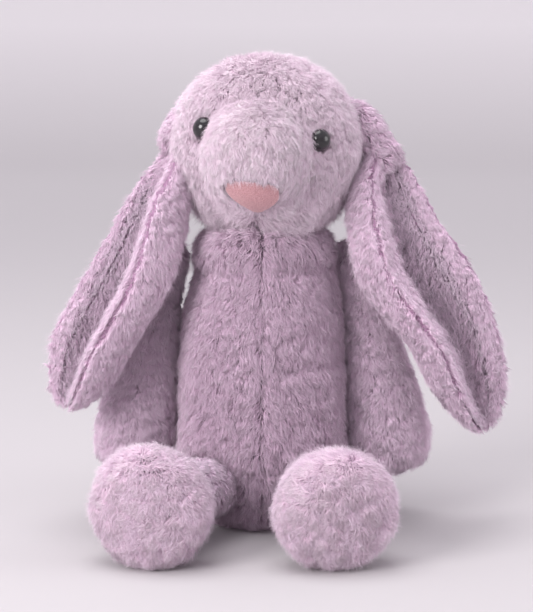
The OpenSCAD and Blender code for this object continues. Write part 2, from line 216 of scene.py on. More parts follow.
def fibre_material(name, root, tip):
    """Fine loose fibres, darker at the root, which is partly painted shade deep in the pile, paler at the tip,
    with a little difference from one to the next.
    """
    m, nodes, links, shader = material(name)
    info = nodes.new("ShaderNodeHairInfo")
    along = ramp(nodes, [(0.0, linear(root)), (1.0, linear(tip))])
    links.new(info.outputs["Intercept"], along.inputs["Fac"])
    tone = nodes.new("ShaderNodeAttribute")
    tone.attribute_name = "tone"
    shade = ramp(nodes, [(0.0, (0.78, 0.76, 0.78, 1)), (1.0, (1.12, 1.12, 1.12, 1))])
    links.new(tone.outputs["Fac"], shade.inputs["Fac"])
    multiplied(nodes, links, shader, along, shade)
    shader.inputs["Roughness"].default_value = 0.7
    shader.inputs["Specular IOR Level"].default_value = 0.25
    shader.inputs["Sheen Weight"].default_value = 0.3
    return m


def cloth_material(name, colour, dark, scale=900.0, strength=0.35):
    """Knitted or woven backing: crossed fine ribs in the colour and the relief."""
    m, nodes, links, shader = material(name)
    place = nodes.new("ShaderNodeTexCoord")
    waves = []
    for direction in ("X", "Z"):
        w = nodes.new("ShaderNodeTexWave")
        w.bands_direction = direction
        w.inputs["Scale"].default_value = scale
        w.inputs["Distortion"].default_value = 1.5
        w.inputs["Detail Scale"].default_value = 2.0
        links.new(place.outputs["Object"], w.inputs["Vector"])
        waves.append(w)
    cross = nodes.new("ShaderNodeMath")
    cross.operation = "MULTIPLY"
    links.new(waves[0].outputs["Fac"], cross.inputs[0])
    links.new(waves[1].outputs["Fac"], cross.inputs[1])
    tone = ramp(nodes, [(0.0, linear(dark)), (1.0, linear(colour))])
    links.new(cross.outputs[0], tone.inputs["Fac"])
    links.new(tone.outputs["Color"], shader.inputs["Base Color"])
    relief = nodes.new("ShaderNodeBump")
    relief.inputs["Strength"].default_value = strength
    relief.inputs["Distance"].default_value = 0.3 * MM
    links.new(cross.outputs[0], relief.inputs["Height"])
    links.new(relief.outputs["Normal"], shader.inputs["Normal"])
    shader.inputs["Roughness"].default_value = 0.92
    shader.inputs["Specular IOR Level"].default_value = 0.12
    shader.inputs["Sheen Weight"].default_value = 0.25
    return m


def wear(obj, mat):
    obj.data.materials.clear()
    obj.data.materials.append(mat)


PILE = {
    "body": pile_material("pile_body", (176, 132, 164), (232, 204, 226), (246, 230, 242)),
    # torso: a darker copy of the same plush, painted shade where the torso lies between the arms and under the
    # head
    "torso": pile_material("pile_torso", (156, 114, 144), (219, 189, 211), (236, 217, 231)),
    # head and face: paler copies of the same plush, painted light on the lit head top and the muzzle; the tail
    # wears the head's copy too
    "head": pile_material("pile_head", (188, 146, 174), (238, 216, 230), (250, 238, 246)),
    "face": pile_material("pile_face", (192, 152, 176), (240, 220, 232), (250, 240, 246)),
    "ear": pile_material("pile_ear", (172, 128, 162), (232, 202, 224), (246, 230, 242)),
    # ear lining: short pile, darker partly as the knit backing shows through it and partly as painted shade in
    # the ear's hollow
    "ear_short": pile_material("pile_ear_short", (120, 102, 116), (204, 184, 200), (222, 208, 219)),
    "foot": pile_material("pile_foot", (170, 126, 158), (232, 202, 222), (248, 232, 242)),
}
FIBRES = {
    "body": fibre_material("fibres_body", (216, 180, 208), (246, 230, 242)),
    # torso: darker fibres, painted shade between the arms and under the head
    "torso": fibre_material("fibres_torso", (202, 166, 194), (235, 216, 230)),
    # head: paler fibres, painted light on the lit head; the tail wears them too
    "head": fibre_material("fibres_head", (222, 190, 212), (250, 238, 246)),
    "ear": fibre_material("fibres_ear", (212, 176, 204), (246, 230, 242)),
}
BACKING = cloth_material("plush_backing", (178, 156, 173), (140, 118, 135))


# ---------------------------------------------------------------- skins

class Skin:
    """A body's closed cloth, with the arrays that the pile grows on."""

    def __init__(self, obj, co, tri, normal, room):
        self.obj, self.co, self.tri, self.normal, self.room = obj, co, tri, normal, room
        a, b, c = (co[tri[:, i]] for i in range(3))
        self.area = np.linalg.norm(np.cross(b - a, c - a), axis=1) / 2
        self.mid = (a + b + c) / 3
        self.face_normal = unit(normal[tri].sum(axis=1))


def link_mesh(name, mesh):
    obj = bpy.data.objects.new(name, mesh)
    scene.collection.objects.link(obj)
    return obj


def cad_copy(name, nodes):
    verts, faces, count = [], [], 0
    for n in nodes:
        co, tri = arrays(frame["nodes"][n].data)
        verts.append(co)
        faces.append(tri + count)
        count += len(co)
    mesh = bpy.data.meshes.new(name)
    mesh.from_pydata(np.concatenate(verts).tolist(), [], np.concatenate(faces).tolist())
    bm = bmesh.new()
    bm.from_mesh(mesh)
    bmesh.ops.remove_doubles(bm, verts=bm.verts, dist=0.01 * MM)
    bm.to_mesh(mesh)
    bm.free()
    return link_mesh(name, mesh)


def remesh(obj, voxel):
    change = obj.modifiers.new("remesh", "REMESH")
    change.mode = "VOXEL"
    change.voxel_size = voxel
    seen = obj.evaluated_get(bpy.context.evaluated_depsgraph_get())
    mesh = bpy.data.meshes.new_from_object(seen)
    obj.modifiers.clear()
    obj.data = mesh


def neighbours(mesh):
    e = np.empty(len(mesh.edges) * 2, np.int32)
    mesh.edges.foreach_get("vertices", e)
    e = e.reshape(-1, 2)
    return np.concatenate([e[:, 0], e[:, 1]]), np.concatenate([e[:, 1], e[:, 0]])


def relaxed(values, links, rounds, step=0.5, back=0.0):
    """Values on the vertices, smoothed along the edges. back undoes the shrinking of a shape."""
    a, b = links
    count = len(values)
    valence = np.maximum(np.bincount(a, minlength=count), 1)[:, None]
    for _ in range(rounds):
        for s in (step, -back) if back else (step,):
            mean = np.stack(
                [np.bincount(a, values[b, i], minlength=count) for i in range(values.shape[1])], axis=1
            ) / valence
            values = values + s * (mean - values)
    return values


def vertex_normals(co, tri):
    n = np.cross(co[tri[:, 1]] - co[tri[:, 0]], co[tri[:, 2]] - co[tri[:, 0]])
    total = np.stack(
        [sum(np.bincount(tri[:, i], n[:, k], minlength=len(co)) for i in range(3)) for k in range(3)], axis=1
    )
    return unit(total)


def node_tree(*nodes):
    verts, faces, count = [], [], 0
    for n in nodes:
        co, tri = arrays(frame["nodes"][n].data)
        verts += co.tolist()
        faces += (tri + count).tolist()
        count += len(co)
    return BVHTree.FromPolygons(verts, faces)


def distance(tree, points):
    """How far each point is from a surface, up to 20 mm."""
    far = 20 * MM
    found = (tree.find_nearest(Vector(p), far)[3] for p in points)
    return np.array([far if d is None else d for d in found])


def make_skin(name, body, nodes, voxel=2.0, rounds=6, depth=3.4, fold=None,
              touch=(), plugs=(), shift=None):
    """Closed cloth of a body: its CAD solids as one surface, smoothed, drawn in by the pile's depth
    and creased by fold, which gives a further depth in metres at each point. It is drawn in less where
    it lies against the touch nodes, so that the pile there stays short. The plugs are nodes that only
    close its holes. shift moves each point by a vector."""
    obj = cad_copy(name, [*nodes, *plugs])
    remesh(obj, voxel * MM)
    links = neighbours(obj.data)
    co, tri = arrays(obj.data)
    co = relaxed(co, links, rounds, 0.5, 0.52)
    normal = vertex_normals(co, tri)
    tree = BVHTree.FromPolygons(co.tolist(), tri.tolist())
    thick = np.empty(len(co))
    for i, (p, n) in enumerate(zip(co.tolist(), normal.tolist())):
        n = Vector(n)
        hit = tree.ray_cast(Vector(p) - n * 0.05 * MM, -n)
        thick[i] = hit[3] if hit[0] is not None else 0.1
    room = np.minimum(depth * MM, 0.3 * thick)[:, None]
    if touch:
        room = room * (0.4 + 0.6 * ease(distance(node_tree(*touch), co), 2 * MM, 8 * MM))[:, None]
    room = relaxed(room, links, 12)
    co = co - normal * room
    if fold is not None:
        co = co - normal * fold(co, normal)[:, None]
    if shift is not None:
        co = co + shift(co)
    co = relaxed(co, links, 2, 0.4)
    normal = relaxed(vertex_normals(co, tri), links, 2)
    obj.data.vertices.foreach_set("co", co.astype(np.float32).ravel())
    obj.data.update()
    obj.data.polygons.foreach_set("use_smooth", np.ones(len(obj.data.polygons), bool))
    wear(obj, BACKING)
    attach(obj, body)
    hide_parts(*nodes)
    return Skin(obj, co, tri, unit(normal), room[:, 0] / (depth * MM))


# ---------------------------------------------------------------- pile

def scatter(skin, count, share, rng):
    """Points on a skin, more of them where share is high."""
    weight = skin.area * share(skin.mid, skin.face_normal)
    pick = rng.choice(len(weight), size=count, p=weight / weight.sum())
    r1 = np.sqrt(rng.random(count))[:, None]
    r2 = rng.random(count)[:, None]
    corner = skin.tri[pick]
    mix = [1 - r1, r1 * (1 - r2), r1 * r2]
    p = sum(m * skin.co[corner[:, i]] for i, m in enumerate(mix))
    n = unit(sum(m * skin.normal[corner[:, i]] for i, m in enumerate(mix)))
    room = sum(m[:, 0] * skin.room[corner[:, i]] for i, m in enumerate(mix))
    return p, n, room


class Style:
    """How a pile stands. Lengths in millimetres, angles in degrees above the cloth."""

    def __init__(self, length=7.8, width=0.36, rise=60, lie=14, tuft=5.0, pull=0.7, stray=13,
                 swirl=24, tuft_turn=26, uneven=0.28, curl=0.0):
        self.length, self.width, self.rise, self.lie = length * MM, width * MM, rise, lie
        self.tuft, self.pull, self.stray, self.swirl = tuft * MM, pull, stray, swirl
        self.tuft_turn, self.uneven, self.curl = tuft_turn, uneven, curl

    def but(self, **changes):
        other = Style.__new__(Style)
        other.__dict__.update(self.__dict__)
        for key, value in changes.items():
            scale = MM if key in ("length", "width", "tuft") else 1
            setattr(other, key, value * scale)
        return other


def strands(p, n, room, way, style, rng, seed, reach=1.0):
    """Root, middle and tip of each strand, the direction across it, and its tone from 0 to 1."""
    flow, long = way(p, n)
    flow = unit(flow - n * dots(flow, n) + 1e-9)
    across = np.cross(n, flow)
    centre, one, two = tufts(p, style.tuft, seed)
    turn = np.radians(
        style.swirl * noise(p, 15 * MM, seed + 11)
        + style.stray * rng.normal(size=len(p))
        + style.tuft_turn * (2 * one - 1)
    )[:, None]
    flow = flow * np.cos(turn) + across * np.sin(turn)
    across = np.cross(n, flow)
    length = style.length * reach * long * (0.35 + 0.65 * room)
    length = (length * (1 + style.uneven * (rng.random(len(p)) - 0.5) + 0.22 * (two - 0.5)))[:, None]
    rise = np.radians(style.rise + 9 * rng.normal(size=len(p)))[:, None]
    lie = np.radians(style.lie + 10 * rng.normal(size=len(p)) + 12 * (two - 0.5))[:, None]
    mid = p + 0.5 * length * (n * np.sin(rise) + flow * np.cos(rise))
    tip = mid + 0.5 * length * (n * np.sin(lie) + flow * np.cos(lie))
    if style.curl:
        tip = tip + across * length * style.curl * rng.normal(size=(len(p), 1))
    gather = centre - p
    gather = gather - n * dots(gather, n)
    limit = np.minimum(1, 0.55 * style.tuft / np.maximum(np.linalg.norm(gather, axis=1), 1e-9))[:, None]
    mid = mid + gather * limit * style.pull * 0.35
    tip = tip + gather * limit * style.pull
    root = p - n * 0.25 * MM
    for part, low in ((root, 0.5), (mid, 0.45), (tip, 0.3)):
        part[:, 2] = np.maximum(part[:, 2], low * MM)
    tone = 0.5 + 0.17 * noise(p, 24 * MM, seed + 21) + 0.2 * (one - 0.5) + 0.13 * rng.normal(size=len(p))
    return root, mid, tip, across, np.clip(tone, 0.02, 0.98)


def lock_mesh(name, root, mid, tip, across, width, tone):
    """Closed locks: three points round the root, three round the middle, and the tip."""
    count = len(root)
    width = width[:, None]
    rings = []
    for ahead, base, share in ((unit(mid - root), root, 1.0), (unit(tip - mid), mid, 0.8)):
        side = unit(across - ahead * dots(across, ahead))
        up = np.cross(ahead, side)
        for q in (90, 210, 330):
            a = math.radians(q)
            rings.append(base + width * share * (side * math.cos(a) + up * math.sin(a)))
    verts = np.stack(rings + [tip], axis=1)
    shape = np.array([
        [0, 2, 1], [0, 1, 4], [0, 4, 3], [1, 2, 5], [1, 5, 4], [2, 0, 3], [2, 3, 5], [3, 4, 6], [4, 5, 6],
        [5, 3, 6],
    ])
    tri = (shape[None] + 7 * np.arange(count)[:, None, None]).reshape(-1)
    mesh = bpy.data.meshes.new(name)
    mesh.vertices.add(count * 7)
    mesh.vertices.foreach_set("co", verts.astype(np.float32).ravel())
    mesh.loops.add(len(tri))
    mesh.loops.foreach_set("vertex_index", tri.astype(np.int32))
    mesh.polygons.add(len(tri) // 3)
    mesh.polygons.foreach_set("loop_start", np.arange(0, len(tri), 3, dtype=np.int32))
    mesh.polygons.foreach_set("use_smooth", np.ones(len(tri) // 3, bool))
    mesh.update(calc_edges=True)
    uv = mesh.uv_layers.new(name="OFBake")
    v = np.array([0.02, 0.02, 0.02, 0.5, 0.5, 0.5, 0.98])
    coords = np.empty((count, 7, 2))
    coords[:, :, 0] = tone[:, None]
    coords[:, :, 1] = v[None]
    uv.data.foreach_set("uv", coords.reshape(-1, 2)[tri].astype(np.float32).ravel())
    return mesh


def grow(name, skin, body, kind, count, share, way, style, seed, clear=None):
    """A piece of pile on a skin: closed locks that ride with its body."""
    rng = np.random.default_rng(seed)
    count = min(LOCKS_MAX, max(200, int(count * DENSITY)))
    p, n, room = scatter(skin, count, share, rng)
    if clear is not None:
        free = clear(p)
        p, n, room = p[free], n[free], room[free]
    root, mid, tip, across, tone = strands(p, n, room, way, style, rng, seed // 100)
    wide = style.width * (1 / math.sqrt(DENSITY)) * (0.75 + 0.5 * rng.random(len(p))) * (0.5 + 0.5 * room)
    obj = link_mesh(name, lock_mesh(name, root, mid, tip, across, wide, tone))
    wear(obj, PILE[kind])
    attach(obj, body)
    return obj


def fibres(name, skin, body, kind, count, share, way, style, seed, clear=None):
    """Fine loose fibres between and above the locks, drawn as hair."""
    rng = np.random.default_rng(seed)
    p, n, room = scatter(skin, max(200, int(count * DENSITY)), share, rng)
    if clear is not None:
        free = clear(p)
        p, n, room = p[free], n[free], room[free]
    loose = style.but(stray=style.stray * 1.6, pull=style.pull * 0.7, uneven=style.uneven * 1.8)
    root, mid, tip, across, tone = strands(p, n, room, way, loose, rng, seed // 100, reach=1.08)
    knee = (root + mid) / 2 + n * 0.2 * MM
    points = np.stack([root, knee, mid, tip], axis=1)
    curves = bpy.data.hair_curves.new(name)
    curves.add_curves([4] * len(p))
    curves.points.foreach_set("position", points.astype(np.float32).ravel())
    thick = np.array([0.075, 0.07, 0.055, 0.012]) * MM
    curves.points.foreach_set("radius", np.tile(thick, len(p)).astype(np.float32))
    shade = curves.attributes.new("tone", "FLOAT", "CURVE")
    shade.data.foreach_set("value", tone.astype(np.float32))
    obj = bpy.data.objects.new(name, curves)
    scene.collection.objects.link(obj)
    curves.materials.append(FIBRES[kind])
    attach(obj, body)
    return obj


def everywhere(p, n):
    return np.ones(len(p))


def downwards(p, n):
    return np.tile(np.array([0.0, 0.0, -1.0]), (len(p), 1)), np.ones(len(p))


# ---------------------------------------------------------------- torso

TORSO_NODES = [
    "torso_front_left", "torso_front_right", "torso_back_left", "torso_back_right", "base_panel",
    "torso_stuffing", "shoulder_thread_left", "shoulder_thread_right", "hip_thread_left", "hip_thread_right",
]
TORSO_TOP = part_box("torso_front_left")[1].z


def torso_fold(p, n):
    """Belly seam, side seams, a furrow and small folds on one side, belly, chest and round shoulders."""
    front = ease(-p[:, 1], 0, 15 * MM)
    seam = 0.8 * bump(p[:, 0], 2.0 * MM) * np.maximum(front, ease(p[:, 1], 0, 15 * MM))
    side_seam = 1.0 * bump(p[:, 1], 2.0 * MM) * ease(np.abs(p[:, 0]), 20 * MM, 30 * MM)
    crease = 2.2 * front * ease(p[:, 0], 2 * MM, 10 * MM) * bump(p[:, 2] - (84 * MM + 0.1 * p[:, 0]), 3.5 * MM)
    folds = 0.7 * front * noise(p * np.array([1, 1, 2.2]), 16 * MM, 33) * (p[:, 0] > 0)
    belly = -3.0 * ease(-p[:, 0], 18 * MM, 38 * MM) * bump(p[:, 2] - 68 * MM, 34 * MM)
    belly = belly * ease(-p[:, 1], 2 * MM, 14 * MM)
    chest = 3.2 * ease(-p[:, 0], 12 * MM, 30 * MM) * ease(p[:, 2], 105 * MM, 135 * MM)
    swell = 1.2 * noise(p, 30 * MM, 3) + folds + belly + chest
    round_top = ease(np.linalg.norm(p[:, :2], axis=1), 17 * MM, 26 * MM)
    high = ease(p[:, 2], TORSO_TOP - 22 * MM, TORSO_TOP - 8 * MM)
    shoulders = -6.5 * round_top * ease(n[:, 2], 0.1, 0.7) * high
    return (seam + side_seam + crease * (1 - ease(p[:, 0], 38 * MM, 50 * MM)) + swell + shoulders) * MM


torso_skin = make_skin("torso_cover", "torso", TORSO_NODES, voxel=2.2, fold=torso_fold,
                       touch=["arm_left_inner", "arm_right_inner", "leg_left_cover", "leg_right_cover"])


def torso_way(p, n):
    """The pile falls, and parts a little at the belly seam."""
    front = n[:, 1] < 0
    near = bump(p[:, 0], 5 * MM)
    flow = np.zeros_like(p)
    flow[:, 2] = -1
    flow[:, 0] = np.sign(p[:, 0]) * (0.1 + 0.4 * near)
    shorter = 1 - 0.2 * bump(p[:, 0], 2 * MM) * np.where(front, 1, 0.6)
    return flow, shorter


def quarter(side, front):
    """Share of the pile on one quarter of the torso, thinner on the seat."""
    def share(p, n):
        inside = (p[:, 0] * side > 0) & ((p[:, 1] < 0) == front)
        seat = ease(p[:, 2], 0.5 * MM, 5 * MM) * 0.9 + 0.1
        return inside * seat + 1e-9 * inside
    return share


BODY = Style()
for side, sign in SIDES.items():
    for end, front in (("front", True), ("back", False)):
        seed = 1000 + 100 * (sign > 0) + 200 * front
        grow(f"torso_{end}_{side}_pile", torso_skin, "torso", "torso", LOCKS_MAX,
             quarter(sign, front), torso_way, BODY, seed)


def torso_share(p, n):
    return quarter(1, True)(p, n) + quarter(-1, True)(p, n) + 0.7 * (p[:, 1] >= 0)


fibres("torso_fibres", torso_skin, "torso", "torso", 110000, torso_share, torso_way, BODY, 1500)


# ---------------------------------------------------------------- head

HEAD_NODES = [
    "head_side_left", "head_side_right", "head_gusset", "snout_left", "snout_right", "head_stuffing",
    "eye_washer_left", "eye_washer_right",
]
nose_low, nose_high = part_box("nose")
NOSE = np.array((nose_low + nose_high) / 2)
NOSE_TIP = np.array([NOSE[0], nose_low.y, nose_low.z])
head_low, head_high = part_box("head_gusset")
HEAD = np.array((head_low + head_high) / 2)
CROWN = np.array([HEAD[0] - 4 * MM, HEAD[1] + 22 * MM, head_high.z])


def swell_at(p, spot, size):
    return np.exp(-np.sum(((p - spot) / (np.array(size) * MM)) ** 2, axis=1))


def head_fold(p, n):
    """Muzzle with a furrow round it, eye sockets, jowls, chin, and the parting under the nose."""
    under = (NOSE_TIP[2] - p[:, 2]) / MM
    below = ease(under, -6, 0) * (1 - ease(under, 14, 22)) * ease(-p[:, 1], 15 * MM, 30 * MM)
    parting = 2.4 * bump(p[:, 0] - NOSE_TIP[0] - 3 * MM, 2.4 * MM) * below
    across = np.stack([(p[:, 0] - NOSE[0]) / (23 * MM), (p[:, 2] - NOSE[2] - 20 * MM) / (23 * MM)], axis=1)
    reach = np.linalg.norm(across, axis=1)
    face = ease(-n[:, 1], 0.15, 0.5)
    muzzle = face * (2.2 * bump(reach - 1.12, 0.2) - 3.2 * (1 - ease(reach, 0.45, 1.0)))
    jowls = 0
    sockets = 0
    for side, sign in SIDES.items():
        eye = middle(f"eye_{side}")
        jowls = jowls - 3.0 * swell_at(p, NOSE + np.array([sign * 20, 14, -8]) * MM, (13, 16, 13))
        sockets = sockets + 1.8 * bump(np.linalg.norm(p - eye, axis=1), 9 * MM)
    brow = 0.9 * swell_at(p, NOSE + np.array([0, 8, 2]) * MM, (24, 20, 6))
    chin = -7.0 * swell_at(p, NOSE + np.array([0, 13, -24]) * MM, (28, 14, 11))
    clear = 1 - 0.8 * bump(np.linalg.norm((p - NOSE) * np.array([0.7, 1, 1]), axis=1), 11 * MM)
    return (parting + muzzle + sockets + brow + (jowls + chin) * clear + 0.8 * noise(p, 26 * MM, 5)) * MM


head_skin = make_skin("head_cover", "head", HEAD_NODES, voxel=1.8, rounds=14, fold=head_fold,
                      touch=["ear_left_outer", "ear_right_outer"],
                      plugs=["eye_left", "eye_right"])

# The eyes' middles and the ways they look, from each eye and its washer
EYES = {}
for side in SIDES:
    base = mean_point(f"eye_washer_{side}")
    EYES[side] = (base, unit(mean_point(f"eye_{side}") - base))

nose_co, nose_tri = arrays(frame["nodes"]["nose"].data)
nose_tree = BVHTree.FromPolygons(nose_co.tolist(), nose_tri.tolist())


def head_clear(p):
    """Points where pile may grow: clear of the eyes and of the nose patch."""
    free = np.ones(len(p), bool)
    for side, (base, out) in EYES.items():
        off = p - base
        radial = off - dots(off, out) * out
        to_nose = unit(NOSE + np.array([0, 0, 12]) * MM - base)
        near_nose = ease(dots(unit(radial), to_nose)[:, 0], -0.1, 0.7)
        room = (5.3 - (2.0 if side == "right" else 1.0) * near_nose) * MM
        free &= (np.linalg.norm(radial, axis=1) > room) | (np.linalg.norm(off, axis=1) > 16 * MM)
    near = np.all((p > np.array(nose_low) - 4 * MM) & (p < np.array(nose_high) + 6 * MM), axis=1)
    for i in np.flatnonzero(near):
        found = nose_tree.find_nearest(Vector(p[i]))
        above = p[i, 2] > NOSE[2] + 2 * MM
        if found[0] is not None and found[3] < (4.0 if above else 4.2) * MM:
            free[i] = False
    return free


def head_way(p, n):
    """The pile whirls out from the crown, falls, and sweeps aside from under the nose."""
    flow = p - CROWN
    away = np.linalg.norm(flow[:, :2], axis=1)
    whorl = (1.2 * bump(away, 22 * MM) * (p[:, 2] > HEAD[2]))[:, None]
    flow = flow + np.stack([-flow[:, 1], flow[:, 0], np.zeros(len(p))], axis=1) * whorl
    flow[:, 2] = -np.maximum(away, 12 * MM)
    flow = unit(flow)
    from_nose = p - NOSE
    reach = np.linalg.norm(from_nose, axis=1)
    close = bump(reach, 30 * MM)[:, None] * (p[:, 1] < HEAD[1])[:, None]
    low = ease(-from_nose[:, 2], -4 * MM, 6 * MM)
    aside = np.zeros_like(p)
    aside[:, 0] = np.clip((from_nose[:, 0] - 3 * MM * low) / (5 * MM), -1, 1) * (0.1 + 0.75 * low)
    aside[:, 2] = -1
    flow = flow * (1 - close) + aside * close
    long = np.ones(len(p))
    for base, out in EYES.values():
        off = p - base
        long = long * (1 - 0.42 * bump(np.linalg.norm(off, axis=1), 10 * MM))
    chin = ease(HEAD[2] - p[:, 2], 20 * MM, 34 * MM)
    return flow, long * (1 + 0.55 * chin)


# Where the muzzle panels end in front of the head's middle, and half the width of the gusset
SNOUT_BACK = 34 * MM
GUSSET_HALF = 18 * MM


def head_part(name):
    """Share of the pile on one of the head's cloth panels."""
    def share(p, n):
        snout = p[:, 1] < HEAD[1] - SNOUT_BACK
        x = p[:, 0] - HEAD[0]
        if name == "snout_left":
            return snout * (x >= 0) + 1e-9
        if name == "snout_right":
            return snout * (x < 0) + 1e-9
        if name == "gusset":
            return ~snout * (np.abs(x) < GUSSET_HALF) + 1e-9
        side = 1 if name == "side_left" else -1
        return ~snout * (x * side >= GUSSET_HALF) + 1e-9
    return share


HEAD_STYLE = Style(length=7.4, tuft=4.4, rise=62, lie=18, pull=0.7)
FACE_STYLE = Style(length=6.6, tuft=3.8, rise=60, lie=16, width=0.32, pull=0.65)
for i, (part, style, kind, slot) in enumerate((
    ("side_left", HEAD_STYLE, "head", "plush_head"), ("side_right", HEAD_STYLE, "head", "plush_head"),
    ("gusset", HEAD_STYLE, "head", "plush_head"), ("snout_left", FACE_STYLE, "face", "plush_face"),
    ("snout_right", FACE_STYLE, "face", "plush_face"),
)):
    grow(f"head_{part}_pile", head_skin, "head", kind, LOCKS_MAX, head_part(part), head_way, style,
         2000 + 100 * i, head_clear)
fibres("head_fibres", head_skin, "head", "head", 110000, everywhere, head_way, HEAD_STYLE, 2600, head_clear)


# ---------------------------------------------------------------- neck

def collar_skin():
    """The outward side of the collar, as a surface for pile."""
    co, tri = arrays(frame["nodes"]["neck_collar"].data)
    centre = joint_pivot("neck_turn")
    normal = unit(co - centre)
    mid = co[tri].mean(axis=1)
    face = unit(np.cross(co[tri[:, 1]] - co[tri[:, 0]], co[tri[:, 2]] - co[tri[:, 0]]))
    outer = np.sum(face * unit(mid - centre), axis=1) > 0.7
    return Skin(frame["nodes"]["neck_collar"], co, tri[outer], normal, np.full(len(co), 0.6))


collar = collar_skin()
grow("neck_collar_pile", collar, "neck", "body", 6000, everywhere, downwards,
     BODY.but(length=4.5, rise=35, lie=5), 3000)
wear(frame["nodes"]["neck_collar"], BACKING)


# ---------------------------------------------------------------- ears

EAR_STYLE = Style(length=6.6, rise=56, lie=12, tuft=4.2)
LINING_STYLE = Style(length=3.6, rise=48, lie=14, tuft=2.4, width=0.30, pull=0.35)

# How far each ear's two edges lie in toward the head, in mm: at its tip, over its upper half (the
# edge by the head first, the far edge second), and at its top
EAR_IN = {
    "left": {"tip": (-5.0, -5.0), "upper": (11.0, -5.0), "top": 1.0},
    "right": {"tip": (0.0, -5.0), "upper": (11.0, 0.0), "top": 14.5},
}


def ear_shift(side, sign):
    """Moves an ear's cloth in toward the cheek, and its tip out, by the amounts in EAR_IN."""
    def shift(p):
        out = p[:, 0] * sign
        level = np.clip((p[:, 2] / (5 * MM)).astype(int), 0, 60)
        low, high = np.full(61, np.inf), np.full(61, -np.inf)
        np.minimum.at(low, level, out)
        np.maximum.at(high, level, out)
        t = (out - low[level]) / np.maximum(high[level] - low[level], 1 * MM)
        upper = ease(p[:, 2], 92 * MM, 142 * MM)
        root = ease(p[:, 2], 172 * MM, 200 * MM)
        edges = (EAR_IN[side][part] for part in ("tip", "upper"))
        at_tip, at_upper = (near + (far - near) * t for near, far in edges)
        amount = at_tip * (1 - upper) + (at_upper * (1 - root) + EAR_IN[side]["top"] * root) * upper
        move = np.zeros_like(p)
        move[:, 0] = -sign * amount * MM
        return move
    return shift


ear_skins = {}
for side, sign in SIDES.items():
    ear = f"ear_{side}"
    skin = make_skin(f"{ear}_cover", ear, [f"{ear}_outer", f"{ear}_lining"], voxel=1.5, rounds=8, depth=3.2,
                     fold=lambda p, n: 0.8 * MM * noise(p, 22 * MM, 7),
                     touch=[f"arm_{side}_outer"], shift=ear_shift(side, sign))
    ear_skins[side] = skin
    trees = [node_tree(f"{ear}_lining"), node_tree(f"{ear}_outer")]
    inside = np.empty(len(skin.mid), bool)
    for i, p in enumerate(skin.mid + skin.face_normal * 2.5 * MM):
        a, b = (t.find_nearest(Vector(p))[3] for t in trees)
        inside[i] = a < b

    def lined(p, n, inside=inside):
        return inside + 1e-9

    def front_half(p, n, inside=inside):
        return ~inside * (n[:, 1] < 0) + 1e-9

    def back_half(p, n, inside=inside):
        return ~inside * (n[:, 1] >= 0) + 1e-9

    def loose(p, n, inside=inside):
        return 1 - 0.75 * inside

    seed = 4000 + 500 * (sign > 0)
    for n, (part, kind, slot, share, style) in enumerate((
        ("front", "ear", "plush_ear", front_half, EAR_STYLE),
        ("back", "ear", "plush_ear", back_half, EAR_STYLE),
        # the lining's darker pile is partly painted shade in the ear's hollow
        ("lining", "ear_short", "plush_ear_lining", lined, LINING_STYLE),
    )):
        grow(f"{ear}_{part}_pile", skin, ear, kind, LOCKS_MAX, share, downwards, style, seed + 100 * n)
    fibres(f"{ear}_fibres", skin, ear, "ear", 60000, loose, downwards, EAR_STYLE, seed + 300)


def loft(name, path, radii, steps=28, rings=5):
    """Closed tube of changing radius along a smooth line through a few points."""
    path = [Vector(p) for p in path]
    spots, sizes = [], []
    for i in range(len(path) - 1):
        for k in range(rings):
            t = k / rings
            a, b, c, d = (path[min(max(i + j, 0), len(path) - 1)] for j in (-1, 0, 1, 2))
            spots.append(0.5 * (2 * b + (c - a) * t + (2 * a - 5 * b + 4 * c - d) * t * t
                                + (3 * b - a - 3 * c + d) * t ** 3))
            sizes.append(radii[i] + (radii[i + 1] - radii[i]) * t * t * (3 - 2 * t))
    spots.append(path[-1])
    sizes.append(radii[-1])
    ahead = (spots[1] - spots[0]).normalized()
    behind = (spots[-1] - spots[-2]).normalized()
    for q in (30, 60):
        a = math.radians(q)
        spots.insert(0, path[0] - ahead * radii[0] * math.sin(a))
        sizes.insert(0, radii[0] * math.cos(a))
        spots.append(path[-1] + behind * radii[-1] * math.sin(a))
        sizes.append(radii[-1] * math.cos(a))
    side = ahead.orthogonal().normalized()
    bm = bmesh.new()
    loops = []
    for i, (spot, r) in enumerate(zip(spots, sizes)):
        along = (spots[min(i + 1, len(spots) - 1)] - spots[max(i - 1, 0)]).normalized()
        side = (side - along * side.dot(along)).normalized()
        up = along.cross(side)
        loops.append([bm.verts.new(spot + (side * math.cos(a) + up * math.sin(a)) * r)
                      for a in (2 * math.pi * k / steps for k in range(steps))])
    for a, b in zip(loops, loops[1:]):
        for k in range(steps):
            j = (k + 1) % steps
            bm.faces.new((a[k], a[j], b[j], b[k]))
    bm.faces.new(list(reversed(loops[0])))
    bm.faces.new(loops[-1])
    bmesh.ops.recalc_face_normals(bm, faces=bm.faces)
    bmesh.ops.triangulate(bm, faces=bm.faces)
    mesh = bpy.data.meshes.new(name)
    bm.to_mesh(mesh)
    bm.free()
    mesh.polygons.foreach_set("use_smooth", np.ones(len(mesh.polygons), bool))
    return link_mesh(name, mesh)
